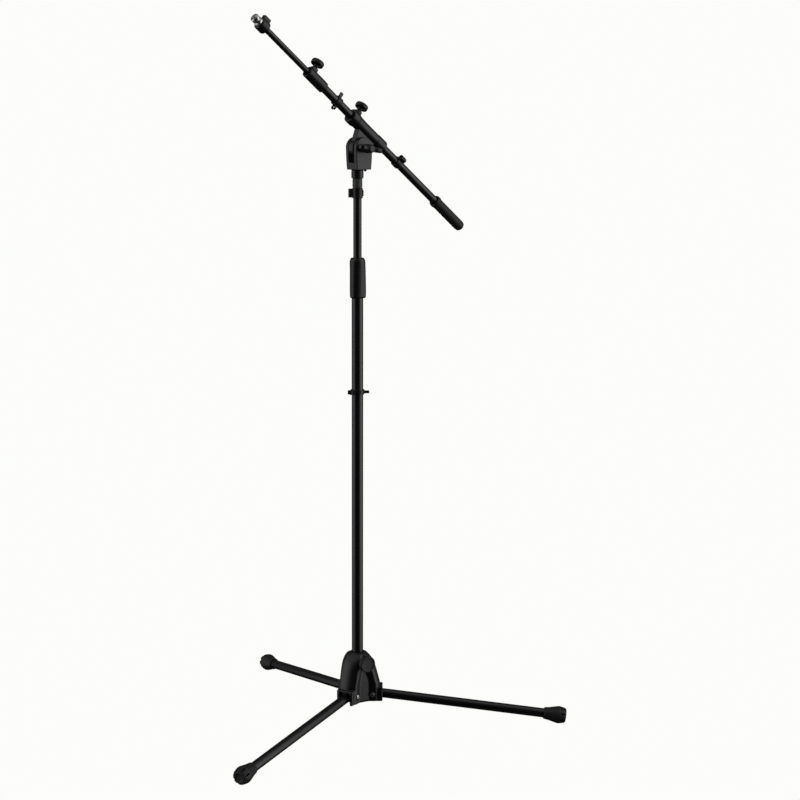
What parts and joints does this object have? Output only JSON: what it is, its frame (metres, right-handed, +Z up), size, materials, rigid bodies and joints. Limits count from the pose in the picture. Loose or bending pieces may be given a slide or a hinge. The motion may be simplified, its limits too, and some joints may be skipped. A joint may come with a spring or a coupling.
{
  "type": "boom microphone stand",
  "caption": "Folding tripod microphone stand with a telescoping mast and a tilting, telescoping boom arm.",
  "frame": {"origin": "on the floor, at the middle of the footprint of the feet; the mast stands about 97 mm from it towards -X", "axes": "+Z up along the mast, +X from the mast towards the foot of the right-hand leg, +Y away from a viewer who faces the stand"},
  "size_m": [0.6312, 0.7264, 1.374],
  "materials": {
    "powder_coat": "satin black powder coat",
    "casting": "black painted die casting, fine orange peel",
    "nylon": "moulded black nylon, fine spark texture",
    "rubber": "black rubber, matt",
    "chrome": "bright chrome plate",
    "zinc": "zinc plated steel",
    "brass": "turned brass"
  },
  "bodies": {
    "base": {"hub_casting": "casting", "leg_bolt_right": "zinc", "leg_bolt_back": "zinc", "leg_bolt_front": "zinc", "leg_nut_right": "zinc", "leg_nut_back": "zinc", "leg_nut_front": "zinc"},
    "hub_knob": {"hub_knob_head": "nylon", "hub_knob_stud": "zinc"},
    "leg_right": {"leg_knuckle_right": "casting", "leg_tube_right": "powder_coat", "foot_right": "rubber"},
    "leg_back": {"leg_knuckle_back": "casting", "leg_tube_back": "powder_coat", "foot_back": "rubber"},
    "leg_front": {"leg_knuckle_front": "casting", "leg_tube_front": "powder_coat", "foot_front": "rubber"},
    "mast": {"mast_lower_tube": "powder_coat", "mast_end_plug": "nylon", "clutch_base": "brass", "clutch_collet": "nylon"},
    "mast_clip": {"mast_cable_clip": "nylon"},
    "clutch": {"clutch_sleeve": "nylon"},
    "upper_mast": {"mast_upper_tube": "powder_coat", "mast_guide_bush": "nylon", "neck_fitting": "powder_coat"},
    "upper_clip": {"upper_mast_clip": "nylon"},
    "head": {"swivel_collar": "casting", "boom_yoke": "casting", "yoke_set_screw": "zinc", "pivot_bolt": "zinc", "pivot_washer": "brass"},
    "wing_knob": {"pivot_wing_knob": "nylon"},
    "tilt_clamp": {"main_clamp_body": "casting", "main_clamp_liner": "nylon", "friction_disc_left": "brass", "friction_disc_right": "brass"},
    "main_knob": {"main_clamp_knob": "nylon", "main_clamp_stud": "zinc"},
    "boom": {"boom_tube": "powder_coat", "tele_clamp_body": "nylon", "boom_grip": "rubber", "grip_ring": "brass", "boom_end_plug": "nylon"},
    "clip_front": {"boom_clip_front": "nylon"},
    "clip_rear": {"boom_clip_rear": "nylon"},
    "tele_knob": {"tele_clamp_knob": "nylon", "tele_clamp_stud": "zinc"},
    "rod": {"boom_rod": "powder_coat", "rod_guide_bush": "nylon", "mic_thread": "chrome"},
    "nut": {"lock_nut": "nylon"}
  },
  "joints": [
    {"name": "hub_knob_turn", "type": "hinge", "parent": "base", "child": "hub_knob", "pos_m": [-0.09643, 0, 0.1295], "axis": [0.5, -0.866, 0], "range_deg": [0, 540]},
    {"name": "leg_right_fold", "type": "hinge", "parent": "base", "child": "leg_right", "pos_m": [-0.06643, 0, 0.063], "axis": [0, 1, 0], "range_deg": [0, 82]},
    {"name": "leg_back_fold", "type": "hinge", "parent": "base", "child": "leg_back", "pos_m": [-0.11143, 0.02598, 0.063], "axis": [-0.866, -0.5, 0], "range_deg": [0, 82]},
    {"name": "leg_front_fold", "type": "hinge", "parent": "base", "child": "leg_front", "pos_m": [-0.11143, -0.02598, 0.063], "axis": [0.866, -0.5, 0], "range_deg": [0, 82]},
    {"name": "mast_lift", "type": "slide", "parent": "base", "child": "mast", "axis": [0, 0, 1], "range_m": [0, 0.028]},
    {"name": "mast_clip_slide", "type": "slide", "parent": "mast", "child": "mast_clip", "axis": [0, 0, 1], "range_m": [-0.4, 0.15]},
    {"name": "clutch_twist", "type": "hinge", "parent": "mast", "child": "clutch", "pos_m": [-0.09643, 0, 0.88], "axis": [0, 0, 1], "range_deg": [0, 90]},
    {"name": "mast_extend", "type": "slide", "parent": "mast", "child": "upper_mast", "axis": [0, 0, 1], "range_m": [-0.11, 0.5]},
    {"name": "upper_clip_turn", "type": "hinge", "parent": "upper_mast", "child": "upper_clip", "pos_m": [-0.09643, 0, 1.0445], "axis": [0, 0, 1], "continuous": true},
    {"name": "boom_swivel", "type": "hinge", "parent": "upper_mast", "child": "head", "pos_m": [-0.09643, 0, 1.0885], "axis": [0, 0, 1], "continuous": true},
    {"name": "wing_knob_turn", "type": "hinge", "parent": "head", "child": "wing_knob", "pos_m": [-0.09643, 0, 1.129], "axis": [0.6691, -0.7431, 0], "range_deg": [0, 360]},
    {"name": "boom_tilt", "type": "hinge", "parent": "head", "child": "tilt_clamp", "pos_m": [-0.09643, 0, 1.129], "axis": [0.6691, -0.7431, 0], "range_deg": [-50, 125]},
    {"name": "main_knob_turn", "type": "hinge", "parent": "tilt_clamp", "child": "main_knob", "pos_m": [-0.10217, -0.00517, 1.18326], "axis": [0.4575, 0.412, 0.788], "range_deg": [0, 540]},
    {"name": "boom_slide", "type": "slide", "parent": "tilt_clamp", "child": "boom", "axis": [-0.5856, -0.5273, 0.6157], "range_m": [-0.031, 0.034]},
    {"name": "clip_front_slide", "type": "slide", "parent": "boom", "child": "clip_front", "axis": [-0.5856, -0.5273, 0.6157], "range_m": [0, 0.026]},
    {"name": "clip_rear_slide", "type": "slide", "parent": "boom", "child": "clip_rear", "axis": [-0.5856, -0.5273, 0.6157], "range_m": [-0.1, 0]},
    {"name": "tele_knob_turn", "type": "hinge", "parent": "boom", "child": "tele_knob", "pos_m": [-0.18064, -0.07583, 1.26576], "axis": [0.4575, 0.412, 0.788], "range_deg": [0, 540]},
    {"name": "rod_slide", "type": "slide", "parent": "boom", "child": "rod", "axis": [-0.5856, -0.5273, 0.6157], "range_m": [-0.115, 0.25]},
    {"name": "lock_nut_turn", "type": "hinge", "parent": "rod", "child": "nut", "pos_m": [-0.25794, -0.14543, 1.34703], "axis": [-0.5856, -0.5273, 0.6157], "continuous": true}
  ]
}
